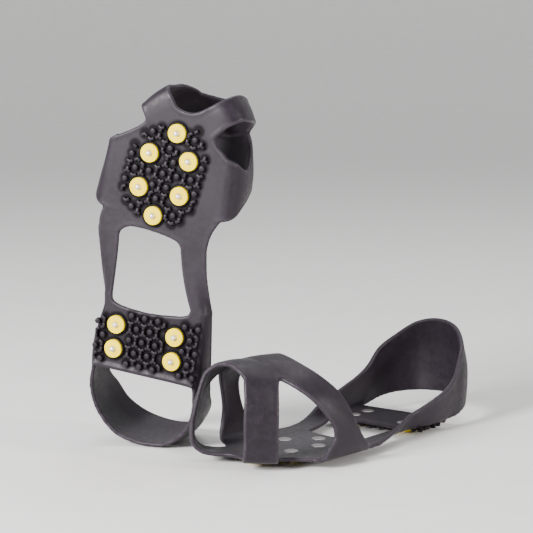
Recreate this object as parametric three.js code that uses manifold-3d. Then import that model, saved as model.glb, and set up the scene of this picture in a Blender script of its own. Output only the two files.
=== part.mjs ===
// A pair of slip-on ice cleats for winter boots, as they sit when a boot holds them open.
// The left cleat lies studs down; the right cleat stands upright on the back of its heel sling.
// Each cleat is drawn once in its own frame, in millimetres: x to the outer side of the foot,
// y from heel to toe, z up into the boot, with z = 0 on the outer face of the sole plates.

import * as THREE from 'three';
import { mergeVertices } from 'three/addons/utils/BufferGeometryUtils.js';
import Module from 'manifold-3d';

const wasm = await Module();
wasm.setup();

// Rubber moulding
const WALL = 3.2; // thickness of the rubber everywhere
const MID = WALL / 2; // height of the plates' middle plane
const STEP = 9; // longest facet along a curved band

// Studs: a steel rivet with a flat head inside the boot, through a round plastic washer
const PIN_RADIUS = 2.2;
const PIN_TIP_Z = -6.2;
const PIN_SHOULDER_Z = -5.2;
const PIN_TIP_RADIUS = 1.1;
const HEAD_RADIUS = 6;
const HEAD_THICKNESS = 1.1;
const WASHER_RADIUS = 7.5;
const WASHER_FACE_Z = -3.5;
const WASHER_CHAMFER = 0.7;
const FIT = 0.3; // clearance round every stud piece
const SOCKET_WALL = 1.4;
const SOCKET_Z = -1.4; // outer rim of the rubber socket round each washer
const ROUND_SEGMENTS = 12;
const STUDS = [
  [-6.4, 244.4],
  [15.0, 225.0],
  [-19.0, 223.8],
  [20.8, 196.4],
  [-14.8, 195.2],
  [5.5, 175.5],
  [26, 80.5],
  [-26, 80.5],
  [26, 60],
  [-26, 60],
];
const FOREFOOT_STUDS = 6;

// Tread: hexagonal nubs on a hexagonal lattice
const PITCH = 11.6;
const NUB_RADIUS = 2.5;
const NUB_TIP_RADIUS = 2.1;
const NUB_HEIGHT = 2.4;
const NUB_SIDES = 6;
const NUB_ROOT = 0.6; // depth that a nub is let into the plate
const NUB_CLEARANCE = 12.2; // from a stud's axis to the nearest nub's axis

// Placement of the pair on the floor
const LEFT_TURN = THREE.MathUtils.degToRad(141.6);
const LEFT_POSITION = [147.75, 84, -PIN_TIP_Z];
const RIGHT_TURN = THREE.MathUtils.degToRad(160.7);
const RIGHT_TILT = THREE.MathUtils.degToRad(-8.9);
const RIGHT_STAND = THREE.MathUtils.degToRad(87.9);
const RIGHT_POSITION = [-108.8, -59];

const BLACK_RUBBER = { color: 0x2a2627, roughness: 0.55, metalness: 0 };
const YELLOW_PLASTIC = { color: 0xe8cc62, roughness: 0.45, metalness: 0 };
const ZINC_STEEL = { color: 0xc4c2bd, roughness: 0.3, metalness: 0.9 };

const vectors = (section) => section.map((p) => new THREE.Vector3(...p));

// ---------- Solids ----------

function solidOf(geometry) {
  const bare = geometry.clone();
  bare.deleteAttribute('normal');
  bare.deleteAttribute('uv');
  const merged = mergeVertices(bare, 1e-4);
  const vertProperties = merged.attributes.position.array;
  const triVerts = new Uint32Array(merged.index.array);
  return new wasm.Manifold(new wasm.Mesh({ numProp: 3, vertProperties, triVerts }));
}

function geometryOf(solid) {
  const { vertProperties, triVerts } = solid.getMesh();
  const geometry = new THREE.BufferGeometry();
  geometry.setAttribute('position', new THREE.BufferAttribute(vertProperties, 3));
  geometry.setIndex(new THREE.BufferAttribute(triVerts, 1));
  geometry.computeVertexNormals();
  return geometry;
}

// A body turned about the z axis through (x, y); the profile lists [radius, z] up the section.
function turned(profile, x, y) {
  const points = profile.map(([radius, z]) => new THREE.Vector2(radius, z));
  const geometry = new THREE.LatheGeometry(points, ROUND_SEGMENTS);
  geometry.rotateX(Math.PI / 2);
  geometry.translate(x, y, 0);
  return geometry;
}

// A flat plate of the rubber's thickness, from an outline in plan.
function plate(outline) {
  const shape = new THREE.Shape(outline.map(([x, y]) => new THREE.Vector2(x, y)));
  return new THREE.ExtrudeGeometry(shape, { depth: WALL, bevelEnabled: false });
}

// Points of a smooth curve in plan through the given ones.
function curve(points, divisions) {
  const spline = new THREE.SplineCurve(points.map(([x, y]) => new THREE.Vector2(x, y)));
  return spline.getPoints(divisions).map((p) => [p.x, p.y]);
}

// The middle surface through a row of sections: every section lists the same number of points.
function middleSurface(sections, along, across) {
  const rails = sections[0].map(
    (_, j) => new THREE.CatmullRomCurve3(sections.map((section) => section[j])),
  );
  const grid = [];
  for (let i = 0; i <= along; i++) {
    const section = new THREE.CatmullRomCurve3(rails.map((rail) => rail.getPoint(i / along)));
    grid.push(section.getPoints(across));
  }
  return grid;
}

function surfaceNormal(grid, i, j) {
  const row = grid[i];
  const before = grid[Math.max(i - 1, 0)][j];
  const after = grid[Math.min(i + 1, grid.length - 1)][j];
  const left = row[Math.max(j - 1, 0)];
  const right = row[Math.min(j + 1, row.length - 1)];
  const alongStep = after.clone().sub(before);
  const acrossStep = right.clone().sub(left);
  return alongStep.cross(acrossStep).normalize();
}

// A closed band of the rubber's thickness about the middle surface.
function band(sections, across) {
  const vectorSections = sections.map(vectors);
  const path = new THREE.CatmullRomCurve3(vectorSections.map((section) => section[0]));
  const along = Math.max(sections.length - 1, Math.ceil(path.getLength() / STEP));
  const grid = middleSurface(vectorSections, along, across);
  const layerSize = (along + 1) * (across + 1);
  const positions = [];
  for (const side of [MID, -MID]) {
    for (let i = 0; i <= along; i++) {
      for (let j = 0; j <= across; j++) {
        const point = grid[i][j].clone().addScaledVector(surfaceNormal(grid, i, j), side);
        positions.push(point.x, point.y, point.z);
      }
    }
  }
  const geometry = new THREE.BufferGeometry();
  geometry.setAttribute('position', new THREE.Float32BufferAttribute(positions, 3));
  geometry.setIndex(bandFaces(along, across, layerSize));
  geometry.computeVertexNormals();
  return geometry;
}

function bandFaces(along, across, layerSize) {
  const faces = [];
  const quad = (a, b, c, d) => faces.push(a, b, c, a, c, d);
  const at = (i, j) => i * (across + 1) + j;
  const under = (i, j) => layerSize + at(i, j);
  for (let i = 0; i < along; i++) {
    for (let j = 0; j < across; j++) {
      quad(at(i, j), at(i + 1, j), at(i + 1, j + 1), at(i, j + 1));
      quad(under(i, j), under(i, j + 1), under(i + 1, j + 1), under(i + 1, j));
    }
    quad(at(i, 0), under(i, 0), under(i + 1, 0), at(i + 1, 0));
    quad(at(i, across), at(i + 1, across), under(i + 1, across), under(i, across));
  }
  for (let j = 0; j < across; j++) {
    quad(at(0, j), at(0, j + 1), under(0, j + 1), under(0, j));
    quad(at(along, j), under(along, j), under(along, j + 1), at(along, j + 1));
  }
  return faces;
}

// ---------- Studs ----------

function stud([x, y]) {
  const headZ = WALL - FIT / 2;
  const pin = turned(
    [
      [0, PIN_TIP_Z],
      [PIN_TIP_RADIUS, PIN_TIP_Z],
      [PIN_RADIUS, PIN_SHOULDER_Z],
      [PIN_RADIUS, headZ - HEAD_THICKNESS],
      [HEAD_RADIUS, headZ - HEAD_THICKNESS],
      [HEAD_RADIUS, headZ],
      [0, headZ],
    ],
    x,
    y,
  );
  const bore = PIN_RADIUS + FIT;
  const washer = turned(
    [
      [bore, WASHER_FACE_Z],
      [WASHER_RADIUS - WASHER_CHAMFER, WASHER_FACE_Z],
      [WASHER_RADIUS, WASHER_FACE_Z + WASHER_CHAMFER],
      [WASHER_RADIUS, 0],
      [bore, 0],
      [bore, WASHER_FACE_Z],
    ],
    x,
    y,
  );
  return { pin, washer };
}

// The raised rubber socket round a washer, sunk a little into the plate.
function socket([x, y]) {
  const radius = WASHER_RADIUS + FIT + SOCKET_WALL;
  return turned(
    [
      [0, SOCKET_Z],
      [radius, SOCKET_Z],
      [radius, MID],
      [0, MID],
    ],
    x,
    y,
  );
}

// The space that one stud takes out of the rubber: washer seat, shank hole and head seat.
function studSpace([x, y]) {
  const hole = PIN_RADIUS + FIT;
  const seat = WASHER_RADIUS + FIT;
  const headSeat = HEAD_RADIUS + FIT;
  const headSeatZ = WALL - HEAD_THICKNESS - FIT * 1.5;
  return turned(
    [
      [0, SOCKET_Z - 1],
      [seat, SOCKET_Z - 1],
      [seat, FIT],
      [hole, FIT],
      [hole, headSeatZ],
      [headSeat, headSeatZ],
      [headSeat, WALL + 1],
      [0, WALL + 1],
    ],
    x,
    y,
  );
}

// ---------- Tread ----------

function nub([x, y]) {
  const height = NUB_HEIGHT + NUB_ROOT;
  const geometry = new THREE.CylinderGeometry(NUB_RADIUS, NUB_TIP_RADIUS, height, NUB_SIDES);
  geometry.rotateX(Math.PI / 2);
  geometry.translate(x, y, NUB_ROOT - height / 2);
  return geometry;
}

// Lattice points inside the tread that keep clear of the studs.
function nubCentres({ centre, turn, rows, columns, inside }, studs) {
  const centres = [];
  for (let row = -rows; row <= rows; row++) {
    for (let column = -columns; column <= columns; column++) {
      const u = PITCH * (column + (row % 2 ? 0.5 : 0));
      const v = PITCH * row * Math.sqrt(0.75);
      const x = centre[0] + u * Math.cos(turn) - v * Math.sin(turn);
      const y = centre[1] + u * Math.sin(turn) + v * Math.cos(turn);
      const clear = studs.every(([sx, sy]) => Math.hypot(x - sx, y - sy) > NUB_CLEARANCE);
      if (clear && inside(u, v)) centres.push([x, y]);
    }
  }
  return centres;
}

const FOREFOOT_TREAD = {
  centre: [0.5, 210],
  turn: THREE.MathUtils.degToRad(9.8),
  rows: 5,
  columns: 4,
  inside: (u, v) => Math.hypot(u / 33, v / 43) < 1,
};

const HEEL_TREAD = {
  centre: [-1.5, 69.5],
  turn: 0,
  rows: 2,
  columns: 4,
  inside: (u, v) => Math.abs(u) < 41 && Math.abs(v) < 21 && u + v < 45,
};

// A sole plate with its sockets, nubs and stud spaces.
function treadedPlate(outline, tread, studs) {
  let solid = solidOf(plate(outline));
  for (const centre of studs) solid = solid.add(solidOf(socket(centre)));
  for (const centre of nubCentres(tread, studs)) solid = solid.add(solidOf(nub(centre)));
  for (const centre of studs) solid = solid.subtract(solidOf(studSpace(centre)));
  return geometryOf(solid);
}

// ---------- Sole plates in plan ----------

const FOREFOOT_OUTLINE = [
  ...curve([[22, 253], [21.5, 249.5], [26, 244.4], [33, 239.6], [42, 234.4], [47.7, 231]], 8),
  ...curve([[48, 176], [50, 172], [51.3, 165], [51, 154.5]], 4),
  ...curve([[36, 154.5], [35, 158], [31, 162], [25, 164.3]], 5),
  ...curve([[12, 164.3], [-9, 161.5], [-18, 158.5], [-21.5, 154.5]], 6),
  ...curve([[-41, 154.5], [-41.3, 161], [-43.5, 170], [-47, 177], [-50, 182]], 5),
  ...curve([[-50, 229], [-45, 233.5], [-38.5, 239], [-36, 244.5], [-37, 248]], 6),
  ...curve([[-24, 263.2], [-16, 260.5], [-8, 261], [-1.5, 263.5], [1, 266]], 6),
];

const HEEL_OUTLINE = [
  [41, 43],
  [40.8, 62],
  [37.6, 84],
  [35.9, 94],
  [36.6, 104],
  ...curve([[35.5, 104], [34.5, 99], [28, 95.5], [2, 93]], 6),
  ...curve([[-20, 95], [-31, 97], [-36, 100], [-37, 104]], 5),
  [-44, 104],
  [-44, 43],
];

// ---------- Bands, as sections of the middle surface ----------

// Straps run from the sole plate up the side of the toe; each section is front edge, rear edge.
const OUTER_FRONT_STRAP = [
  [[1.2, 266.7, MID], [22.5, 253.4, MID]],
  [[5, 272, 2.2], [25, 257.5, 2]],
  [[9, 276.5, 4.5], [27.3, 260.5, 3.6]],
  [[11, 278, 10], [28, 261.5, 9]],
  [[11, 277.5, 24], [28, 261, 22]],
  [[11, 277.5, 38], [27.5, 259.8, 37]],
  [[10, 275.5, 52], [24.5, 256, 52]],
  [[7, 272.5, 63], [20.5, 251, 62]],
  [[5, 270.3, 67], [17.2, 246.3, 65.6]],
];

const INNER_FRONT_STRAP = [
  [[-24.3, 263.7, MID], [-37.4, 248.4, MID]],
  [[-30, 267.5, 2], [-42.5, 254, 2]],
  [[-37.5, 273, 4], [-50, 260, 4]],
  [[-43, 277, 10], [-55, 263, 10]],
  [[-44, 278, 24], [-56.5, 262, 22]],
  [[-42, 276.5, 38], [-54.5, 260, 37]],
  [[-39.5, 274, 52], [-50, 256, 51]],
  [[-37, 271.5, 63], [-44.5, 250.5, 61]],
  [[-35.2, 270.3, 67.4], [-40.4, 246.3, 65.4]],
];

const OUTER_REAR_STRAP = [
  [[48.7, 231, MID], [48.7, 176, MID]],
  [[51.3, 229, 2.6], [55, 178, 2.8]],
  [[52.6, 225, 8], [59.4, 182, 7]],
  [[54.6, 218.5, 18], [60.4, 191.5, 14]],
  [[54.2, 220, 28], [57.8, 200, 30]],
  [[50.8, 228, 40], [53.5, 205, 43]],
  [[44.5, 236.5, 51.5], [47.8, 211, 54]],
  [[33, 242, 60], [35.5, 218.5, 65.5]],
  [[17.6, 244.4, 66], [16.2, 221.4, 74.2]],
];

const INNER_REAR_STRAP = [
  [[-50.8, 229, MID], [-50.8, 182, MID]],
  [[-55, 227, 3], [-56, 183.5, 3]],
  [[-58, 224.5, 8], [-59, 186, 8]],
  [[-59.5, 220.5, 18], [-60.5, 192, 16]],
  [[-58.5, 220.5, 28], [-60, 199, 30]],
  [[-55.5, 225.5, 40], [-57.5, 205, 43]],
  [[-51, 233, 51.5], [-51.5, 211, 54]],
  [[-45.5, 240.5, 60.5], [-37.5, 218.8, 66]],
  [[-41.2, 244.4, 65.2], [-18.8, 220.8, 73.6]],
];

// Over the toe from the outer straps to the inner ones; each section is front, middle, rear.
const TOE_BRIDGE = [
  [[3.7, 269, 68.4], [15.9, 245, 67.2], [14.9, 221.2, 75]],
  [[-6, 268, 73.8], [2, 245, 72.8], [7, 221, 77]],
  [[-16, 267, 76], [-12, 245, 75], [-1, 220.5, 78.2]],
  [[-26, 267.5, 74.4], [-26, 245, 72.8], [-9, 221, 77]],
  [[-34, 269, 69], [-39, 245, 67.2], [-16.9, 221.2, 75]],
];

// Rails tie the forefoot to the heel; each section is inner edge, middle, outer edge.
const OUTER_RAIL = [
  [[36, 153.5, MID], [43.5, 153.5, MID], [51, 153.5, MID]],
  [[35.5, 140, MID], [42, 140, 1.7], [48.5, 140, 3]],
  [[35.5, 122, MID], [41, 122, 2.2], [45.6, 122, 6]],
  [[35.8, 104.6, MID], [39.2, 104.6, 2.5], [42.2, 104.6, 9]],
];

const INNER_RAIL = [
  [[-21.8, 153.5, MID], [-31.4, 153.5, MID], [-41, 153.5, MID]],
  [[-26, 135, MID], [-35, 135, MID], [-43.5, 135, 2.2]],
  [[-31.5, 118, MID], [-40, 118, 1.8], [-47, 118, 5]],
  [[-37.3, 104.4, MID], [-44.7, 104.4, 2.4], [-49.5, 104.4, 10]],
];

// The sling runs from the heel plate's outer side round the back; sections go lower to upper edge.
const SLING_OUTER_END = [
  [[38.4, 104, MID], [40, 104, 3], [41.3, 104, 5.8], [42.2, 104, 9.2]],
  [[37.7, 94, MID], [39.1, 94, 3], [40, 94, 7], [41, 94, 12.4]],
  [[39.2, 84, MID], [41, 84, 3], [42.2, 84, 8], [43.6, 84, 16]],
];
const SLING_INNER_END = [
  [[-45, 84, MID], [-47.6, 84, 3], [-49, 84, 8], [-49.3, 84, 16]],
  [[-45, 104, MID], [-47.3, 104, 2.6], [-48.8, 104, 5.6], [-49.3, 104, 9.7]],
];
const SLING_CENTRE_X = -1.5;
const SLING_HALF = [
  [[42, 62, MID], [44.8, 62, 3.2], [46, 62, 10], [46.2, 62, 22.5]],
  [[42.2, 44, MID], [45, 44, 4.6], [45.9, 44, 12], [45.9, 44, 28]],
  [[44.6, 29, 2.6], [45, 29, 11], [45, 28.5, 22], [44.5, 28.5, 36.5]],
  [[43.2, 14, 6], [43.5, 14, 18], [43.5, 14, 34], [41.3, 15, 51.5]],
  [[36, -1, 9], [36.8, -2.5, 24], [36.6, -2.5, 43], [33.8, 0, 62]],
  [[20, -15, 11], [20.6, -16.5, 29], [20.4, -16.3, 52], [18.6, -12.5, 74]],
];
const SLING_BACK = [[0, -18.8, 12], [0, -20, 31], [0, -19.8, 55], [0, -16.3, 78]];

function slingSections() {
  const side = (sign) => (section) =>
    section.map(([x, y, z]) => [SLING_CENTRE_X + sign * (x - SLING_CENTRE_X), y, z]);
  const back = SLING_BACK.map(([x, y, z]) => [SLING_CENTRE_X + x, y, z]);
  const inner = SLING_HALF.map(side(-1)).reverse();
  return [...SLING_OUTER_END, ...SLING_HALF, back, ...inner, ...SLING_INNER_END];
}

// ---------- Assembly ----------

function named(name, geometry, look) {
  const mesh = new THREE.Mesh(geometry, new THREE.MeshStandardMaterial(look));
  mesh.name = name;
  return mesh;
}

function cleat(foot) {
  const group = new THREE.Group();
  const rubber = (name, geometry) => group.add(named(`${foot}_${name}`, geometry, BLACK_RUBBER));
  const forefootStuds = STUDS.slice(0, FOREFOOT_STUDS);
  const heelStuds = STUDS.slice(FOREFOOT_STUDS);
  rubber('forefoot_plate', treadedPlate(FOREFOOT_OUTLINE, FOREFOOT_TREAD, forefootStuds));
  rubber('heel_plate', treadedPlate(HEEL_OUTLINE, HEEL_TREAD, heelStuds));
  rubber('outer_front_strap', band(OUTER_FRONT_STRAP, 2));
  rubber('inner_front_strap', band(INNER_FRONT_STRAP, 2));
  rubber('outer_rear_strap', band(OUTER_REAR_STRAP, 3));
  rubber('inner_rear_strap', band(INNER_REAR_STRAP, 3));
  rubber('toe_bridge', band(TOE_BRIDGE, 6));
  rubber('outer_rail', band(OUTER_RAIL, 3));
  rubber('inner_rail', band(INNER_RAIL, 3));
  rubber('heel_sling', band(slingSections(), 4));
  STUDS.forEach((centre, index) => {
    const { pin, washer } = stud(centre);
    group.add(named(`${foot}_stud_washer_${index + 1}`, washer, YELLOW_PLASTIC));
    group.add(named(`${foot}_stud_pin_${index + 1}`, pin, ZINC_STEEL));
  });
  return group;
}

// The left cleat is the right one's mirror image, lying on the tips of its studs.
const left = cleat('left');
left.scale.x = -1;
left.rotation.z = LEFT_TURN;
left.position.set(...LEFT_POSITION);

// The right cleat is stood up, turned and set down on the floor.
const right = cleat('right');
right.rotation.set(RIGHT_STAND, RIGHT_TILT, RIGHT_TURN, 'ZYX');
const standing = new THREE.Box3().setFromObject(right, true);
right.position.set(...RIGHT_POSITION, -standing.min.z);

// The origin is on the floor under the middle of the pair.
const pair = new THREE.Group();
pair.add(left, right);
const bounds = new THREE.Box3().setFromObject(pair, true);
const middle = bounds.getCenter(new THREE.Vector3());
pair.position.set(-middle.x, -middle.y, -bounds.min.z);

export default pair;
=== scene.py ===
"""A pair of slip-on ice cleats for winter boots: the left one lies studs down, the right one stands.

Each cleat is drawn once in its own frame in millimetres (x to the outer side of the foot, y from
heel to toe, z up into the boot, z = 0 on the outer face of the sole plates) and then placed where
its CAD studs are.
"""

import math

import bpy
import numpy as np
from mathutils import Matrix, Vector


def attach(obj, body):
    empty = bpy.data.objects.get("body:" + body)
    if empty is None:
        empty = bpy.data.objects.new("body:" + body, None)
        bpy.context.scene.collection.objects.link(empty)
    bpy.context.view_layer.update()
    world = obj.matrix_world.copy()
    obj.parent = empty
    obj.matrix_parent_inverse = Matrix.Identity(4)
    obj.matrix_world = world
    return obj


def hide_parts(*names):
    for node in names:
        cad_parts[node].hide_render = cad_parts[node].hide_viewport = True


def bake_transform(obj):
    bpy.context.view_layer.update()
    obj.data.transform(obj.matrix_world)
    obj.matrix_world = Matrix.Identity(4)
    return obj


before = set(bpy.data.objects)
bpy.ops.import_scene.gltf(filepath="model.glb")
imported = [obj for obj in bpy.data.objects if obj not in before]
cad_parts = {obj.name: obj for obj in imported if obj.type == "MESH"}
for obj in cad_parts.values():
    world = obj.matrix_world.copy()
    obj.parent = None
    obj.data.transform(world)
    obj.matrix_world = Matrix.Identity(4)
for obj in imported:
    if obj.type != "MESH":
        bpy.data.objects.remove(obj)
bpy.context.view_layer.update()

MM = 0.001  # metres

# ---------------------------------------------------------------- measures, in millimetres

WALL = 3.2
MID = WALL / 2
VOXEL = 1.0  # cell size when the moulding is fused
LIP = 2.0  # radius of the rounded lip along every free edge
OVERLAP = 5.0  # how far neighbouring regions run into one another
RAIL_OVERLAP = 2.0  # how far the rails run into the ends of the heel sling
SAMPLE = 1.6  # spacing of the points along curves and bands
CROWN = 1.1  # how far a strap's middle swells outward
CROWN_RUN = 0.13  # part of a strap's length over which it swells to that
CROWN_DELAY = 0.4  # part of that run at the strap's end that stays flat
TOE_HEART = (-8, 235, 32)  # a point inside the toe, which the straps swell away from
TUBE_SIDES = 12

STUDS = [
    (-6.4, 244.4),
    (15.0, 225.0),
    (-19.0, 223.8),
    (20.8, 196.4),
    (-14.8, 195.2),
    (5.5, 175.5),
    (26.0, 80.5),
    (-26.0, 80.5),
    (26.0, 60.0),
    (-26.0, 60.0),
]
FOREFOOT_STUDS = 6
PIN_TIP_Z = -6.2
STUD_TOLERANCE = 0.5  # how far the CAD's studs may be from this drawing

LEFT_TURN = math.radians(141.6)
RIGHT_TURN = math.radians(160.7)
RIGHT_TILT = math.radians(-8.9)
RIGHT_STAND = math.radians(87.9)

# ---------------------------------------------------------------- guide sections of the moulding

OUTER_FRONT_STRAP = [
    [[1.2, 266.7, MID], [22.5, 253.4, MID]],
    [[5, 272, 2.2], [25, 257.5, 2]],
    [[9, 276.5, 4.5], [27.3, 260.5, 3.6]],
    [[11, 278, 10], [28, 261.5, 9]],
    [[11, 277.5, 24], [28, 261, 22]],
    [[11, 277.5, 38], [27.5, 259.8, 37]],
    [[10, 275.5, 52], [24.5, 256, 52]],
    [[7, 272.5, 63], [20.5, 251, 62]],
    [[5, 270.3, 67], [17.2, 246.3, 65.6]],
]
INNER_FRONT_STRAP = [
    [[-24.3, 263.7, MID], [-37.4, 248.4, MID]],
    [[-30, 267.5, 2], [-42.5, 254, 2]],
    [[-37.5, 273, 4], [-50, 260, 4]],
    [[-43, 277, 10], [-55, 263, 10]],
    [[-44, 278, 24], [-56.5, 262, 22]],
    [[-42, 276.5, 38], [-54.5, 260, 37]],
    [[-39.5, 274, 52], [-50, 256, 51]],
    [[-37, 271.5, 63], [-44.5, 250.5, 61]],
    [[-35.2, 270.3, 67.4], [-40.4, 246.3, 65.4]],
]
OUTER_REAR_STRAP = [
    [[48.7, 231, MID], [48.7, 176, MID]],
    [[51.3, 229, 2.6], [55, 178, 2.8]],
    [[52.6, 225, 8], [59.4, 182, 7]],
    [[54.6, 218.5, 18], [60.4, 191.5, 14]],
    [[54.2, 220, 28], [57.8, 200, 30]],
    [[50.8, 228, 40], [53.5, 205, 43]],
    [[44.5, 236.5, 51.5], [47.8, 211, 54]],
    [[33, 242, 60], [35.5, 218.5, 65.5]],
    [[17.6, 244.4, 66], [16.2, 221.4, 74.2]],
]
INNER_REAR_STRAP = [
    [[-50.8, 229, MID], [-50.8, 182, MID]],
    [[-55, 227, 3], [-56, 183.5, 3]],
    [[-58, 224.5, 8], [-59, 186, 8]],
    [[-59.5, 220.5, 18], [-60.5, 192, 16]],
    [[-58.5, 220.5, 28], [-60, 199, 30]],
    [[-55.5, 225.5, 40], [-57.5, 205, 43]],
    [[-51, 233, 51.5], [-51.5, 211, 54]],
    [[-45.5, 240.5, 60.5], [-37.5, 218.8, 66]],
    [[-41.2, 244.4, 65.2], [-18.8, 220.8, 73.6]],
]
TOE_BRIDGE = [
    [[3.7, 269, 68.4], [15.9, 245, 67.2], [14.9, 221.2, 75]],
    [[-6, 268, 73.8], [2, 245, 72.8], [7, 221, 77]],
    [[-16, 267, 76], [-12, 245, 75], [-1, 220.5, 78.2]],
    [[-26, 267.5, 74.4], [-26, 245, 72.8], [-9, 221, 77]],
    [[-34, 269, 69], [-39, 245, 67.2], [-16.9, 221.2, 75]],
]
OUTER_RAIL = [
    [[36, 153.5, MID], [43.5, 153.5, MID], [51, 153.5, MID]],
    [[35.5, 140, MID], [42, 140, 1.7], [48.5, 140, 3]],
    [[35.5, 122, MID], [41, 122, 2.2], [45.6, 122, 6]],
    [[35.8, 104.6, MID], [39.2, 104.6, 2.5], [42.2, 104.6, 9]],
]
INNER_RAIL = [
    [[-21.8, 153.5, MID], [-31.4, 153.5, MID], [-41, 153.5, MID]],
    [[-26, 135, MID], [-35, 135, MID], [-43.5, 135, 2.2]],
    [[-31.5, 118, MID], [-40, 118, 1.8], [-47, 118, 5]],
    [[-37.3, 104.4, MID], [-46.5, 104.4, 2.5], [-49.4, 104.4, 9.8]],
]
SLING_OUTER_END = [
    [[38.4, 104, MID], [40, 104, 3], [41.3, 104, 5.8], [42.2, 104, 9.2]],
    [[37.7, 94, MID], [39.1, 94, 3], [40, 94, 7], [41, 94, 12.4]],
    [[39.2, 84, MID], [41, 84, 3], [42.2, 84, 8], [43.6, 84, 16]],
]
SLING_INNER_END = [
    [[-45, 84, MID], [-47.6, 84, 3], [-49, 84, 8], [-49.3, 84, 16]],
    [[-45, 104, MID], [-47.3, 104, 2.6], [-48.8, 104, 5.6], [-49.3, 104, 9.7]],
]
SLING_CENTRE_X = -1.5
SLING_HALF = [
    [[42, 62, MID], [44.8, 62, 3.2], [46, 62, 10], [46.2, 62, 22.5]],
    [[42.2, 44, MID], [45, 44, 4.6], [45.9, 44, 12], [45.9, 44, 28]],
    [[44.6, 29, 2.6], [45, 29, 11], [45, 28.5, 22], [44.5, 28.5, 36.5]],
    [[43.2, 14, 6], [43.5, 14, 18], [43.5, 14, 34], [41.3, 15, 51.5]],
    [[36, -1, 9], [36.8, -2.5, 24], [36.6, -2.5, 43], [33.8, 0, 62]],
    [[20, -15, 11], [20.6, -16.5, 29], [20.4, -16.3, 52], [18.6, -12.5, 74]],
]
SLING_BACK = [[0, -18.8, 12], [0, -20, 31], [0, -19.8, 55], [0, -16.3, 78]]

# Free edges of the sole plates in plan, in order round each plate.
FOREFOOT_EDGES = [
    [[22, 253], [21.5, 249.5], [26, 244.4], [33, 239.6], [42, 234.4], [48, 231]],
    [[48, 176], [50, 172], [51.3, 165], [51, 154.5]],
    [
        [36, 154.5], [35, 158], [31, 162], [25, 164.3], [12, 164.3],
        [-9, 161.5], [-18, 158.5], [-21.5, 154.5],
    ],
    [[-41, 154.5], [-41.3, 161], [-43.5, 170], [-47, 177], [-50, 182]],
    [[-50, 229], [-45, 233.5], [-38.5, 239], [-36, 244.5], [-37, 248]],
    [[-24, 263.2], [-16, 260.5], [-8, 261], [-1.5, 263.5], [1, 266]],
]
HEEL_FRONT_EDGE = [
    [35.5, 104], [34.5, 99], [28, 95.5], [2, 93], [-20, 95], [-31, 97], [-36, 100], [-37, 104],
]
HEEL_OUTER_SIDE = [[42, 43], [42, 62], [39.2, 84], [37.7, 94], [38.4, 104]]
HEEL_INNER_SIDE = [[-45, 104], [-45, 43]]
HEEL_RIM = [[44.5, 43.2], [41, 43.8], [0, 44.2], [-42, 43.8], [-46.5, 43.2]]
HEEL_RIM_RADIUS = 2.7
HEEL_RIM_HEIGHT = MID - 0.3


# ---------------------------------------------------------------- shapes


def spline(points, count):
    """A centripetal Catmull-Rom curve through rows of points."""
    p = np.asarray(points, float)
    spans = len(p) - 1
    p = np.concatenate([[2 * p[0] - p[1]], p, [2 * p[-1] - p[-2]]])
    gap = np.sqrt(np.linalg.norm(np.diff(p, axis=0), axis=-1, keepdims=True))
    gap = np.maximum(gap, 1e-3)
    t = np.linspace(0, spans, count)
    i = np.minimum(t.astype(int), spans - 1)
    f = (t - i).reshape(-1, *[1] * (p.ndim - 1))
    a, b, c, d = p[i], p[i + 1], p[i + 2], p[i + 3]
    ga, gb, gc = gap[i], gap[i + 1], gap[i + 2]
    leave = ((b - a) / ga - (c - a) / (ga + gb) + (c - b) / gb) * gb
    arrive = ((c - b) / gb - (d - b) / (gb + gc) + (d - c) / gc) * gb
    f2, f3 = f * f, f * f * f
    through = (2 * f3 - 3 * f2 + 1) * b + (3 * f2 - 2 * f3) * c
    return through + (f3 - 2 * f2 + f) * leave + (f3 - f2) * arrive


def length(points):
    return float(np.linalg.norm(np.diff(np.asarray(points, float), axis=0), axis=-1).sum())


def unit(v):
    return v / np.maximum(np.linalg.norm(v, axis=-1, keepdims=True), 1e-9)


class Solid:
    """Closed shapes gathered into one list of points and faces."""

    def __init__(self):
        self.points, self.faces, self.count = [], [], 0

    def add(self, points, faces):
        self.points.append(np.asarray(points, float).reshape(-1, 3))
        self.faces += [tuple(int(k) + self.count for k in face) for face in faces]
        self.count += len(self.points[-1])

    def all_points(self):
        return np.concatenate(self.points)


def middle_grid(sections):
    """The middle surface through sections, as a fine grid."""
    sections = np.asarray(sections, float)
    along = max(8, int(length(sections[:, 0]) / SAMPLE))
    across = max(6, int(length(sections[len(sections) // 2]) / SAMPLE))
    rows = spline(sections, along)
    return np.swapaxes(spline(np.swapaxes(rows, 0, 1), across), 0, 1)


def grid_normals(grid):
    return unit(np.cross(np.gradient(grid, axis=0), np.gradient(grid, axis=1)))


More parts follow.
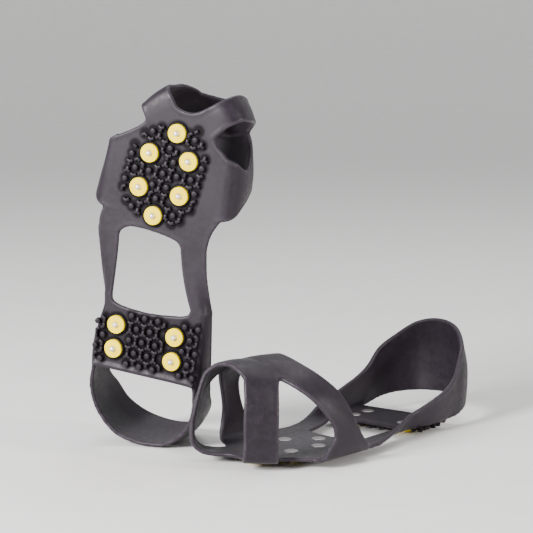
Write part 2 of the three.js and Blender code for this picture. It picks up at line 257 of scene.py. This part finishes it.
def add_band(solid, sections, crown=0.0, heart=None, lips=(True, True)):
    """A band of the rubber's thickness about the surface through sections, with lips along its edges.

    Its middle swells by crown, away from the point heart.
    """
    grid = middle_grid(sections)
    normals = grid_normals(grid)
    if heart is not None:
        outward = np.einsum("ijk,ijk->ij", normals, grid - np.asarray(heart, float))
        if outward.mean() < 0:
            normals = -normals
        across = np.linspace(-1, 1, grid.shape[1])
        along = np.linspace(0, 1, grid.shape[0])
        rise = np.clip(np.minimum(along, 1 - along) / CROWN_RUN - CROWN_DELAY, 0, 1)
        rise = rise * rise * (3 - 2 * rise)
        grid = grid + normals * (crown * rise[:, None] * (1 - across**2)[None])[..., None]
    n, m = grid.shape[:2]
    top, bottom = grid + normals * MID, grid - normals * MID

    def at(i, j):
        return i * m + j

    def under(i, j):
        return n * m + i * m + j

    faces = []
    for i in range(n - 1):
        for j in range(m - 1):
            faces.append((at(i, j), at(i + 1, j), at(i + 1, j + 1), at(i, j + 1)))
            faces.append((under(i, j), under(i, j + 1), under(i + 1, j + 1), under(i + 1, j)))
        faces.append((at(i, 0), under(i, 0), under(i + 1, 0), at(i + 1, 0)))
        faces.append((at(i, m - 1), at(i + 1, m - 1), under(i + 1, m - 1), under(i, m - 1)))
    for j in range(m - 1):
        faces.append((at(0, j), at(0, j + 1), under(0, j + 1), under(0, j)))
        faces.append((at(n - 1, j), under(n - 1, j), under(n - 1, j + 1), at(n - 1, j + 1)))
    solid.add(np.concatenate([top.reshape(-1, 3), bottom.reshape(-1, 3)]), faces)
    for j, wanted in ((0, lips[0]), (m - 1, lips[1])):
        if wanted:
            add_tube(solid, grid[:, j], normals[:, j], LIP)


def add_tube(solid, path, normals, radius):
    """A round bar along a path."""
    path, normals = np.asarray(path, float), unit(np.asarray(normals, float))
    sides = TUBE_SIDES
    tangents = unit(np.gradient(path, axis=0))
    sideways = unit(np.cross(tangents, normals))
    upward = unit(np.cross(sideways, tangents))
    angles = np.linspace(0, 2 * math.pi, sides, endpoint=False)
    cosines, sines = np.cos(angles)[None, :, None], np.sin(angles)[None, :, None]
    ring = path[:, None] + radius * (cosines * sideways[:, None] + sines * upward[:, None])
    n = len(path)
    faces = []
    for i in range(n - 1):
        for k in range(sides):
            a, b = i * sides + k, i * sides + (k + 1) % sides
            faces.append((a, b, b + sides, a + sides))
    faces.append(tuple(range(sides))[::-1])
    faces.append(tuple(range((n - 1) * sides, n * sides)))
    solid.add(ring.reshape(-1, 3), faces)


def add_plate(solid, outline):
    """A flat plate of the rubber's thickness from its outline in plan."""
    outline = np.asarray(outline, float)
    n = len(outline)
    low = np.column_stack([outline, np.zeros(n)])
    high = np.column_stack([outline, np.full(n, WALL)])
    faces = [tuple(range(n))[::-1], tuple(range(n, 2 * n))]
    faces += [(k, (k + 1) % n, n + (k + 1) % n, n + k) for k in range(n)]
    solid.add(np.concatenate([low, high]), faces)


def plan_curve(points):
    points = np.asarray(points, float)
    return spline(points, max(4, int(length(points) / SAMPLE)))


def add_plan_lip(solid, points, radius=LIP, height=MID):
    path = plan_curve(points)
    path = np.column_stack([path, np.full(len(path), height)])
    add_tube(solid, path, np.tile([0.0, 0.0, 1.0], (len(path), 1)), radius)


def lead_in(sections, flat, overlap=OVERLAP):
    """The sections with one more before them, so that the band starts inside its neighbour."""
    sections = np.asarray(sections, float)
    step = unit(sections[0] - sections[1]) * overlap
    if flat:
        step[:, 2] = 0
    return np.concatenate([[sections[0] + step], sections])


def lead_out(sections, overlap):
    """The same at the other end."""
    return lead_in(np.asarray(sections, float)[::-1], False, overlap)[::-1]


def sling_sections():
    """The heel sling from its outer end round the back, where it is symmetrical, to its inner end."""
    half = np.asarray(SLING_HALF, float)
    back = np.asarray(SLING_BACK, float) + [SLING_CENTRE_X, 0, 0]
    mirrored = half[::-1].copy()
    mirrored[..., 0] = 2 * SLING_CENTRE_X - mirrored[..., 0]
    return np.concatenate([SLING_OUTER_END, half, [back], mirrored, SLING_INNER_END])


def strap_band(outer, inner, at_front):
    """Two straps and the front or rear half of the toe bridge between them, as one strip."""
    bridge = np.asarray(TOE_BRIDGE, float)[1:-1]
    front, middle, rear = bridge[:, 0], bridge[:, 1], bridge[:, 2]
    if at_front:
        strip = [front, middle + unit(rear - middle) * OVERLAP]
    else:
        strip = [middle + unit(front - middle) * OVERLAP, rear]
    return np.concatenate([lead_in(outer, True), np.stack(strip, axis=1), lead_in(inner, True)[::-1]])


def moulding():
    """All of one cleat's rubber but its tread, as overlapping closed shapes."""
    solid = Solid()
    forefoot = [point for edge in FOREFOOT_EDGES for point in plan_curve(edge)]
    add_plate(solid, forefoot)
    heel = [*HEEL_OUTER_SIDE, *plan_curve(HEEL_FRONT_EDGE), *HEEL_INNER_SIDE]
    add_plate(solid, heel)
    for edge in FOREFOOT_EDGES:
        add_plan_lip(solid, edge)
    add_plan_lip(solid, HEEL_FRONT_EDGE)
    add_plan_lip(solid, HEEL_RIM, HEEL_RIM_RADIUS, HEEL_RIM_HEIGHT)
    add_band(solid, strap_band(OUTER_FRONT_STRAP, INNER_FRONT_STRAP, True), CROWN, TOE_HEART)
    add_band(solid, strap_band(OUTER_REAR_STRAP, INNER_REAR_STRAP, False), CROWN, TOE_HEART)
    for rail in (OUTER_RAIL, INNER_RAIL):
        add_band(solid, lead_out(lead_in(rail, True), RAIL_OVERLAP))
    add_band(solid, sling_sections(), lips=(False, True))
    return solid


# ---------------------------------------------------------------- meshes


def mesh_from(name, points, faces):
    mesh = bpy.data.meshes.new(name)
    mesh.from_pydata([tuple(p) for p in points], [], faces)
    mesh.update()
    return mesh


def fused(solid):
    """One closed skin round overlapping shapes: points and faces."""
    mesh = mesh_from("fusing", solid.all_points(), solid.faces)
    obj = bpy.data.objects.new("fusing", mesh)
    bpy.context.scene.collection.objects.link(obj)
    remesh = obj.modifiers.new("fuse", "REMESH")
    remesh.mode = "VOXEL"
    remesh.voxel_size = VOXEL
    remesh.adaptivity = 0
    graph = bpy.context.evaluated_depsgraph_get()
    skin = bpy.data.meshes.new_from_object(obj.evaluated_get(graph))
    points = np.empty(len(skin.vertices) * 3)
    skin.vertices.foreach_get("co", points)
    edges = np.empty(len(skin.edges) * 2, int)
    skin.edges.foreach_get("vertices", edges)
    faces = [tuple(face.vertices) for face in skin.polygons]
    bpy.data.objects.remove(obj)
    bpy.data.meshes.remove(mesh)
    bpy.data.meshes.remove(skin)
    return points.reshape(-1, 3), edges.reshape(-1, 2), faces


def neighbour_pull(points, edges):
    """From each point to the mean of its neighbours."""
    n = len(points)
    a, b = edges[:, 0], edges[:, 1]
    count = np.bincount(a, minlength=n) + np.bincount(b, minlength=n)
    total = np.empty_like(points)
    for k in range(3):
        total[:, k] = np.bincount(a, points[b, k], n) + np.bincount(b, points[a, k], n)
    return total / np.maximum(count, 1)[:, None] - points


ROUNDING_PASSES = 2
POLISH_PASSES = 8
PULL_IN = 0.5
PUSH_OUT = 0.52


def smoothed(points, edges):
    """Rounds the edges a little, then irons out the voxel steps without shrinking."""
    for _ in range(ROUNDING_PASSES):
        points = points + PULL_IN * neighbour_pull(points, edges)
    for _ in range(POLISH_PASSES):
        points = points + PULL_IN * neighbour_pull(points, edges)
        points = points - PUSH_OUT * neighbour_pull(points, edges)
    return points


def point_attribute(mesh, name, values):
    attribute = mesh.attributes.new(name, "FLOAT", "POINT")
    attribute.data.foreach_set("value", np.asarray(values, np.float32))


def point_normals(mesh):
    normals = np.empty(len(mesh.vertices) * 3)
    mesh.vertex_normals.foreach_get("vector", normals)
    return normals.reshape(-1, 3)


# ---------------------------------------------------------------- placement


def turn(angle, axis):
    """The matrix of a turn about axis 0, 1 or 2."""
    c, s = math.cos(angle), math.sin(angle)
    i, j = [(1, 2), (2, 0), (0, 1)][axis]
    m = np.eye(3)
    m[i, i] = m[j, j] = c
    m[i, j], m[j, i] = -s, s
    return m


AXES = {
    "left": turn(LEFT_TURN, 2) @ np.diag([-1.0, 1.0, 1.0]),
    "right": turn(RIGHT_TURN, 2) @ turn(RIGHT_TILT, 1) @ turn(RIGHT_STAND, 0),
}


def node_points(name):
    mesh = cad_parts[name].data
    points = np.empty(len(mesh.vertices) * 3)
    mesh.vertices.foreach_get("co", points)
    return points.reshape(-1, 3)


def measured_shift(foot):
    """Where the cleat's own origin is, from the places of its CAD stud pins."""
    shifts = []
    for index, (x, y) in enumerate(STUDS):
        along = node_points(f"{foot}_stud_pin_{index + 1}") @ AXES[foot]
        low, high = along.min(0), along.max(0)
        middle = (low + high) / 2
        shifts.append([middle[0] - x * MM, middle[1] - y * MM, low[2] - PIN_TIP_Z * MM])
    spread = np.ptp(shifts, axis=0).max()
    if spread > STUD_TOLERANCE * MM:
        raise ValueError(f"the {foot} studs do not match the drawing: {spread / MM:.2f} mm apart")
    return AXES[foot] @ np.mean(shifts, axis=0)


SHIFT = {foot: measured_shift(foot) for foot in AXES}


def placed(foot, points):
    """Local millimetres to metres in the scene."""
    return np.asarray(points, float) * MM @ AXES[foot].T + SHIFT[foot]


def make_object(name, foot, points, faces, material, smooth_angle=None):
    """A mesh object from local millimetres, with outward faces on either foot."""
    if foot == "left":
        faces = [face[::-1] for face in faces]
    mesh = mesh_from(name, placed(foot, points), faces)
    mesh.materials.append(material)
    mesh.shade_smooth()
    if smooth_angle is not None:
        mesh.set_sharp_from_angle(angle=math.radians(smooth_angle))
    obj = bpy.data.objects.new(name, mesh)
    bpy.context.scene.collection.objects.link(obj)
    return obj


# ---------------------------------------------------------------- tread and studs

LUG_SHADE = 6.4  # where the painted shade between the lugs ends, from a lug's middle
STUD_SHADE = 11.6  # the same from a stud's middle
SHADE_FADE = 2.2  # how wide that painted shade fades out
OUTER_FACE_Z = 0.5  # points lower than this belong to the plates' outer face
NUB_ROOM = 11.6  # clear space between a stud's middle and a nub's
LUG_ROOM = 10.1  # the same for a lug's middle
TIP_ROOM = 9.9  # and for the tips of its arms
NUB_SPILL = 0.8  # how far a nub's middle may lie outside the tread's outline
LATTICE_REACH = (8, 6)  # cells to either side of the origin
NUB_SIDES = 12
STUD_SIDES = 40
WIDE_GAP = 0.95 * math.pi  # arms further apart than this have no inner corner between them
BACK_STEP = 0.4  # how far a lug reaches behind its arms, of their half width
NUB_PROFILE = [(2.6, 0.5), (2.5, -0.2), (2.3, -2.5), (2.1, -2.85), (1.75, -3.0)]
SOCKET_PROFILE = [(7.85, 0.4), (7.85, -1.0), (8.1, -1.35), (8.75, -1.4), (9.15, -1.15), (9.5, 0.4)]
LUG_RINGS = [(0.2, 0.5), (0.1, -0.2), (-0.04, -2.35), (-0.16, -2.65), (-0.38, -2.8)]  # growth, z

FOREFOOT_TREAD = {
    "origin": (1.5, 210.8),
    "a": (12.2, 0.4),
    "b": (4.3, 10.7),
    "reach": 0.86,
    "spill": 2.2,
    "half_width": 1.15,
    "area": [
        (24, 237), (33, 217), (35, 201), (33, 187), (27, 179), (19, 169), (2, 165.5), (-12, 173),
        (-26, 186), (-32, 204), (-34, 224), (-29.5, 239), (-19, 251), (-4, 254), (12, 246),
    ],
}
HEEL_TREAD = {
    "origin": (7.5, 80.4),
    "a": (11.76, -0.08),
    "b": (5.88, 10.2),
    "reach": 0.9,
    "spill": 1.0,
    "half_width": 1.1,
    "area": [
        (43.5, 50), (43.5, 70), (42.5, 80), (39, 87.5), (33, 91), (2, 90.5), (-20, 91), (-46, 92), (-46, 50),
    ],
}


def inside(point, polygon, beyond=0.0):
    """Whether a point is in a polygon; beyond pulls the point towards the polygon's middle first."""
    middle = np.mean(polygon, axis=0)
    away = np.asarray(point, float) - middle
    x, y = middle + away * max(0.0, 1 - beyond / max(np.linalg.norm(away), 1e-6))
    found = False
    for (x0, y0), (x1, y1) in zip(polygon, polygon[1:] + polygon[:1]):
        if (y0 > y) != (y1 > y) and x < x0 + (y - y0) * (x1 - x0) / (y1 - y0):
            found = not found
    return found


def add_turned(solid, profile, centre, sides, capped):
    """A lathed shape; profile lists (radius, z). It is capped at both ends, or else its ends join."""
    angles = np.linspace(0, 2 * math.pi, sides, endpoint=False)
    x, y = np.cos(angles), np.sin(angles)
    rings = [np.column_stack([centre[0] + r * x, centre[1] + r * y, np.full(sides, z)]) for r, z in profile]
    n = len(rings)
    faces = []
    for i in range(n - 1 if capped else n):
        for k in range(sides):
            a, b = i * sides + k, i * sides + (k + 1) % sides
            c, d = ((i + 1) % n) * sides + (k + 1) % sides, ((i + 1) % n) * sides + k
            faces.append((a, d, c, b))
    if capped:
        faces.append(tuple((n - 1) * sides + k for k in range(sides))[::-1])
        faces.append(tuple(range(sides)))
    solid.add(np.concatenate(rings), faces)


def lug_outline(centre, tips, half_width):
    """The outline of a lug with an arm to each tip, anticlockwise."""
    arms = sorted((math.atan2(t[1] - centre[1], t[0] - centre[0]), math.dist(t, centre)) for t in tips)
    points = []
    for k, (angle, reach) in enumerate(arms):
        d = np.array([math.cos(angle), math.sin(angle)])
        s = np.array([-d[1], d[0]])
        points += [centre + d * reach - s * half_width, centre + d * reach + s * half_width]
        following = arms[(k + 1) % len(arms)][0]
        gap = (following - angle) % (2 * math.pi) if len(arms) > 1 else 2 * math.pi
        if gap < WIDE_GAP:
            bisector = angle + gap / 2
            reach_in = half_width / math.sin(gap / 2)
            points.append(centre + reach_in * np.array([math.cos(bisector), math.sin(bisector)]))
        else:
            points.append(centre + s * half_width - d * half_width * BACK_STEP)
            d2 = np.array([math.cos(following), math.sin(following)])
            s2 = np.array([-d2[1], d2[0]])
            points.append(centre - s2 * half_width - d2 * half_width * BACK_STEP)
    return np.array(points)


def add_lug(solid, centre, tips, half_width):
    """A lug that narrows a little from its root to its face."""
    centre = np.asarray(centre, float)
    rings = []
    for growth, z in LUG_RINGS:
        grown = [centre + unit(np.asarray(t) - centre) * (math.dist(t, centre) + growth) for t in tips]
        outline = lug_outline(centre, grown, half_width + growth)
        rings.append(np.column_stack([outline, np.full(len(outline), z)]))
    m = len(rings[0])
    faces = []
    for i in range(len(rings) - 1):
        for k in range(m):
            a, b = i * m + k, i * m + (k + 1) % m
            faces.append((a, a + m, b + m, b))
    faces.append(tuple((len(rings) - 1) * m + k for k in range(m))[::-1])
    faces.append(tuple(range(m)))
    solid.add(np.concatenate(rings), faces)


def tread(spec, studs):
    """Round nubs in the cells of a honeycomb of three-armed lugs, and a socket round each stud.

    Also lists the middles of the nubs and lugs.
    """
    solid = Solid()
    middles = []
    origin, a, b = (np.array(spec[key], float) for key in ("origin", "a", "b"))
    area, spill = spec["area"], spec["spill"]

    def clear(point, room):
        return all(math.dist(point, stud) > room for stud in studs)

    for i in range(-LATTICE_REACH[0], LATTICE_REACH[0] + 1):
        for j in range(-LATTICE_REACH[1], LATTICE_REACH[1] + 1):
            cell = origin + i * a + j * b
            if inside(cell, area, NUB_SPILL) and clear(cell, NUB_ROOM):
                add_turned(solid, NUB_PROFILE, cell, NUB_SIDES, True)
                middles.append(cell)
            for centre, ends in (
                (cell + (a + b) / 3, (cell + a / 2, cell + b / 2, cell + (a + b) / 2)),
                (cell + 2 * (a + b) / 3, (cell + a + b / 2, cell + b + a / 2, cell + (a + b) / 2)),
            ):
                tips = [centre + (end - centre) * spec["reach"] for end in ends]
                kept = [tip for tip in tips if inside(tip, area, spill) and clear(tip, TIP_ROOM)]
                if kept and inside(centre, area, spill) and clear(centre, LUG_ROOM):
                    add_lug(solid, centre, kept, spec["half_width"])
                    middles.append(centre)
    for stud in studs:
        add_turned(solid, SOCKET_PROFILE, stud, STUD_SIDES, False)
    return solid, np.array(middles)


WASHER_PROFILE = [
    (2.55, -0.05), (2.55, -3.15), (2.8, -3.4), (3.2, -3.42), (5.75, -3.46), (5.95, -3.36), (6.15, -3.36),
    (6.35, -3.48), (6.85, -3.5), (7.2, -3.42), (7.43, -3.2), (7.5, -2.9), (7.5, -0.05),
]
PIN_PROFILE = [
    (0.25, -6.2), (0.8, -6.14), (1.25, -5.97), (1.65, -5.68), (1.95, -5.3), (2.1, -4.85), (2.2, -4.3),
    (2.2, -3.55), (2.45, -3.3), (2.45, 2.2), (5.7, 2.6), (6.0, 2.9), (5.9, 3.3), (5.3, 3.62), (3.6, 3.86),
    (1.8, 3.95), (0.2, 3.98),
]
HEAD_Z = 2  # a pin is a head above this


# ---------------------------------------------------------------- materials


RUBBER_TONES = ((0.0085, 0.0056, 0.0092), (0.0160, 0.0110, 0.0175))
RUBBER_FLECK = (0.024, 0.0175, 0.026)
# painted shade between the lugs and round the studs
RUBBER_PAINTED_SHADE = (0.0012, 0.0010, 0.0012)
# paler edges and lug faces: partly wear, partly a painted highlight
RUBBER_WEAR_AND_HIGHLIGHT = (0.050, 0.040, 0.052)
WASHER_TONES = ((0.95, 0.68, 0.0), (1.0, 0.79, 0.0))
WASHER_SPECK = (0.80, 0.50, 0.0)
PIN_TONES = ((0.93, 0.89, 0.87), (0.74, 0.68, 0.65))
# painted shade on the rivet heads inside the boot
PIN_HEAD_SHADE = (0.30, 0.285, 0.28)
FLOOR_TONES = ((0.80, 0.79, 0.77), (0.83, 0.82, 0.80))


class Surface:
    """A procedural material and the nodes that it is built from."""

    def __init__(self, name):
        self.material = bpy.data.materials.new(name)
        self.material.use_nodes = True
        self.nodes, self.links = self.material.node_tree.nodes, self.material.node_tree.links
        self.nodes.clear()
        output = self.nodes.new("ShaderNodeOutputMaterial")
        self.shader = self.nodes.new("ShaderNodeBsdfPrincipled")
        self.links.new(self.shader.outputs["BSDF"], output.inputs["Surface"])
        self.where = self.nodes.new("ShaderNodeTexCoord").outputs["Object"]

    def set(self, socket, value):
        """Gives one of the shader's sockets a number or another node's output."""
        if isinstance(value, (int, float)):
            self.shader.inputs[socket].default_value = value
        else:
            self.links.new(value, self.shader.inputs[socket])

    def noise(self, scale, detail, roughness=0.5):
        texture = self.nodes.new("ShaderNodeTexNoise")
        texture.inputs["Scale"].default_value = scale
        texture.inputs["Detail"].default_value = detail
        texture.inputs["Roughness"].default_value = roughness
        self.links.new(self.where, texture.inputs["Vector"])
        return texture.outputs["Fac"]

    def attribute(self, name):
        node = self.nodes.new("ShaderNodeAttribute")
        node.attribute_name = name
        return node.outputs["Fac"]

    def remap(self, value, from_range, to_range=(0, 1)):
        node = self.nodes.new("ShaderNodeMapRange")
        node.inputs["From Min"].default_value, node.inputs["From Max"].default_value = from_range
        node.inputs["To Min"].default_value, node.inputs["To Max"].default_value = to_range
        self.links.new(value, node.inputs["Value"])
        return node.outputs["Result"]

    def mix(self, factor, first, second):
        """Mixes two colours, each a tuple or another node's output."""
        node = self.nodes.new("ShaderNodeMix")
        node.data_type = "RGBA"
        self.links.new(factor, node.inputs["Factor"])
        for socket, value in ((node.inputs["A"], first), (node.inputs["B"], second)):
            if isinstance(value, tuple):
                socket.default_value = (*value, 1.0)
            else:
                self.links.new(value, socket)
        return node.outputs["Result"]

    def bump(self, height, strength, distance, before=None):
        """distance is in metres; before is a bump that this one is laid over."""
        node = self.nodes.new("ShaderNodeBump")
        node.inputs["Strength"].default_value = strength
        node.inputs["Distance"].default_value = distance
        self.links.new(height, node.inputs["Height"])
        if before is not None:
            self.links.new(before, node.inputs["Normal"])
        return node.outputs["Normal"]


def rubber_material():
    """Dull black rubber: mottled, paler on its edges from wear and a painted highlight, with painted shade
    between the lugs.
    """
    surface = Surface("black_rubber_moulded")
    clouds = surface.noise(26, 4, 0.55)
    mottle = surface.noise(240, 3, 0.6)
    grain = surface.noise(1900, 2, 0.5)
    painted_shade = surface.attribute("painted_shade")
    tone = surface.mix(surface.remap(clouds, (0.3, 0.7)), *RUBBER_TONES)
    fleck = surface.mix(surface.remap(mottle, (0.42, 0.75), (0, 0.5)), tone, RUBBER_FLECK)
    # painted shade between the lugs and round the studs
    shaded = surface.mix(surface.remap(painted_shade, (0, 1), (0, 0.78)), fleck, RUBBER_PAINTED_SHADE)
    wear_and_highlight = surface.remap(surface.attribute("edge"), (0.15, 1.0), (0, 0.6))
    # paler edges and lug faces: partly wear, partly a painted highlight
    surface.set("Base Color", surface.mix(wear_and_highlight, shaded, RUBBER_WEAR_AND_HIGHLIGHT))
    surface.set("Roughness", surface.remap(mottle, (0.3, 0.7), (0.38, 0.56)))
    surface.set("Specular IOR Level", surface.remap(painted_shade, (0, 1), (0.24, 0.07)))
    surface.set("Sheen Weight", 0.03)
    surface.set("Sheen Roughness", 0.45)
    surface.set("Normal", surface.bump(clouds, 0.25, 0.0012, surface.bump(grain, 0.35, 0.00012)))
    return surface.material


def washer_material():
    """Satin yellow plastic with fine darker specks."""
    surface = Surface("yellow_washer_moulded")
    clouds = surface.noise(180, 3)
    speck = surface.noise(1500, 2)
    tone = surface.mix(surface.remap(clouds, (0.3, 0.7)), *WASHER_TONES)
    surface.set("Base Color", surface.mix(surface.remap(speck, (0.6, 0.85), (0, 0.35)), tone, WASHER_SPECK))
    surface.set("Roughness", surface.remap(clouds, (0.3, 0.7), (0.42, 0.56)))
    surface.set("Specular IOR Level", 0.08)
    surface.set("Normal", surface.bump(speck, 0.25, 0.0001))
    return surface.material


def pin_material():
    """Scuffed plated steel, with painted shade on the rivet heads inside the boot."""
    surface = Surface("steel_pin_plated")
    scuff = surface.noise(900, 4, 0.65)
    tone = surface.mix(surface.remap(scuff, (0.35, 0.7)), *PIN_TONES)
    # painted shade on the rivet heads
    surface.set("Base Color", surface.mix(surface.attribute("head"), tone, PIN_HEAD_SHADE))
    surface.set("Roughness", surface.remap(scuff, (0.3, 0.7), (0.36, 0.58)))
    surface.set("Metallic", 1.0)
    surface.set("Normal", surface.bump(scuff, 0.2, 0.00015))
    return surface.material


def floor_material():
    surface = Surface("studio_floor")
    surface.set("Base Color", surface.mix(surface.remap(surface.noise(35, 3), (0.3, 0.7)), *FLOOR_TONES))
    surface.set("Roughness", 0.8)
    surface.set("Specular IOR Level", 0.1)
    return surface.material


RUBBER = rubber_material()
YELLOW = washer_material()
STEEL = pin_material()

# ---------------------------------------------------------------- the pair

REGIONS = (
    "forefoot_plate", "heel_plate", "outer_front_strap", "inner_front_strap", "outer_rear_strap",
    "inner_rear_strap", "toe_bridge", "outer_rail", "inner_rail", "heel_sling",
)
EDGE_BULGE = 0.12  # bulge of the skin over its neighbouring points where an edge gets the full pale wear and painted highlight
TREAD_SHARP = 50  # degrees between two faces from which their edge is drawn sharp
STUD_SHARP = 40

skin_points, skin_edges, skin_faces = fused(moulding())
skin_points = smoothed(skin_points, skin_edges)
TREADS = {
    "forefoot": tread(FOREFOOT_TREAD, STUDS[:FOREFOOT_STUDS]),
    "heel": tread(HEEL_TREAD, STUDS[FOREFOOT_STUDS:]),
}


def nearest(points, centres):
    """From each point in plan to the nearest centre."""
    return np.min([np.hypot(*(points[:, :2] - c).T) for c in centres], axis=0)


def tread_painted_shade(points):
    """How much painted shade each point of the plates' outer face gets: 1 between the lugs."""
    middles = np.concatenate([TREADS["forefoot"][1], TREADS["heel"][1]])
    by_lugs = (LUG_SHADE - nearest(points, middles)) / SHADE_FADE
    by_studs = (STUD_SHADE - nearest(points, STUDS)) / SHADE_FADE
    return np.where(points[:, 2] < OUTER_FACE_Z, np.clip(np.maximum(by_lugs, by_studs), 0, 1), 0)


def shade_tread(mesh, depth):
    """A painted highlight on the lugs' faces and painted shade at their roots, from each point's depth below
    the plate.
    """
    # a painted highlight towards the lugs' faces, then painted shade towards their roots
    point_attribute(mesh, "edge", np.clip((depth - 2.2) / 1.4, 0, 0.25))
    point_attribute(mesh, "painted_shade", np.clip((2.9 - depth) / 1.6, 0.3, 1))


# painted shade on the plates' outer face, near the lugs and studs
SKIN_PAINTED_SHADE = tread_painted_shade(skin_points)

for foot in ("left", "right"):
    body = make_object(f"{foot}_moulding", foot, skin_points, skin_faces, RUBBER)
    pull = neighbour_pull(placed(foot, skin_points), skin_edges)
    bulge = -np.einsum("ij,ij->i", pull, point_normals(body.data))
    # paler convex edges: partly wear, partly a painted highlight along the lips
    point_attribute(body.data, "edge", np.clip(bulge / (EDGE_BULGE * MM), 0, 1))
    point_attribute(body.data, "painted_shade", SKIN_PAINTED_SHADE)
    if foot == "left":
        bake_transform(body)
    else:
        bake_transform(body)
    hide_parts(*[f"{foot}_{region}" for region in REGIONS])
    for part, (solid, _) in TREADS.items():
        points = solid.all_points()
        piece = make_object(f"{foot}_{part}_tread", foot, points, solid.faces, RUBBER, TREAD_SHARP)
        shade_tread(piece.data, -points[:, 2])
        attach(piece, f"{foot}_{part}")
    for index, centre in enumerate(STUDS):
        side = "forefoot" if index < FOREFOOT_STUDS else "heel"
        for kind, profile, capped, material, slot in (
            ("washer", WASHER_PROFILE, False, YELLOW, "yellow_washer"),
            ("pin", PIN_PROFILE, True, STEEL, "steel_pin"),
        ):
            solid = Solid()
            add_turned(solid, profile[::-1], centre, STUD_SIDES, capped)
            points = solid.all_points()
            node = f"{foot}_stud_{kind}_{index + 1}"
            name = f"{foot}_{kind}_{index + 1}"
            piece = make_object(name, foot, points, solid.faces, material, STUD_SHARP)
            if kind == "pin":
                # marks the heads, which get the painted shade
                point_attribute(piece.data, "head", points[:, 2] > HEAD_Z)
            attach(piece, f"{foot}_{side}")
            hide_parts(node)

# ---------------------------------------------------------------- floor, light and camera


FLOOR_SIDES = 96
FLOOR_SWEEP = [  # radius and height in metres: flat, then rising into a backdrop all round
    (0.0001, 0), (1, 0), (2.5, 0), (4, 0), (5, 0.06), (6, 0.35), (6.6, 0.9), (6.8, 1.7),
]
NEUTRAL = (1, 1, 1)
LIGHTS = [  # name, place, aim, size, power, colour
    ("key", (-1.35, -1.3, 0.85), (-0.08, 0, 0.16), 0.6, 98, (1.0, 0.98, 0.99)),
    ("fill", (1.7, -0.9, 0.6), (0, 0, 0.1), 0.35, 26, (1.0, 0.96, 0.93)),
    ("top", (0.3, 0.9, 2.1), (0, 0, 0.1), 1.1, 14, NEUTRAL),
]
SKY_COLOUR = (0.93, 0.94, 0.96, 1)
SKY_STRENGTH = 0.75
SENSOR_WIDTH = 36
LENS = 113.2
CAMERA_PLACE = (-0.01631, -1.39942, 0.31894)
CAMERA_PITCH = 83  # degrees up from straight down


def studio_floor():
    angles = np.linspace(0, 2 * math.pi, FLOOR_SIDES, endpoint=False)
    x, y = np.cos(angles), np.sin(angles)
    rings = [np.column_stack([r * x, r * y, np.full(FLOOR_SIDES, h)]) for r, h in FLOOR_SWEEP]
    faces = []
    for i in range(len(rings) - 1):
        for k in range(FLOOR_SIDES):
            a, b = i * FLOOR_SIDES + k, i * FLOOR_SIDES + (k + 1) % FLOOR_SIDES
            faces.append((a, a + FLOOR_SIDES, b + FLOOR_SIDES, b))
    mesh = mesh_from("studio_floor", np.concatenate(rings), faces)
    mesh.materials.append(floor_material())
    mesh.shade_smooth()
    floor = bpy.data.objects.new("studio_floor", mesh)
    bpy.context.scene.collection.objects.link(floor)


def soft_light(name, place, aim, size, power, colour):
    light = bpy.data.lights.new(name, "AREA")
    light.shape = "DISK"
    light.size = size
    light.energy = power
    light.color = colour
    obj = bpy.data.objects.new(name, light)
    bpy.context.scene.collection.objects.link(obj)
    obj.location = place
    obj.rotation_euler = (Vector(aim) - Vector(place)).to_track_quat("-Z", "Y").to_euler()


def sky():
    world = bpy.data.worlds.new("studio")
    world.use_nodes = True
    background = world.node_tree.nodes["Background"]
    background.inputs["Color"].default_value = SKY_COLOUR
    background.inputs["Strength"].default_value = SKY_STRENGTH
    bpy.context.scene.world = world


def camera():
    data = bpy.data.cameras.new("camera")
    data.sensor_width = SENSOR_WIDTH
    data.lens = LENS
    obj = bpy.data.objects.new("camera", data)
    bpy.context.scene.collection.objects.link(obj)
    obj.location = CAMERA_PLACE
    obj.rotation_euler = (math.radians(CAMERA_PITCH), 0, 0)
    bpy.context.scene.camera = obj


studio_floor()
for light in LIGHTS:
    soft_light(*light)
sky()
camera()
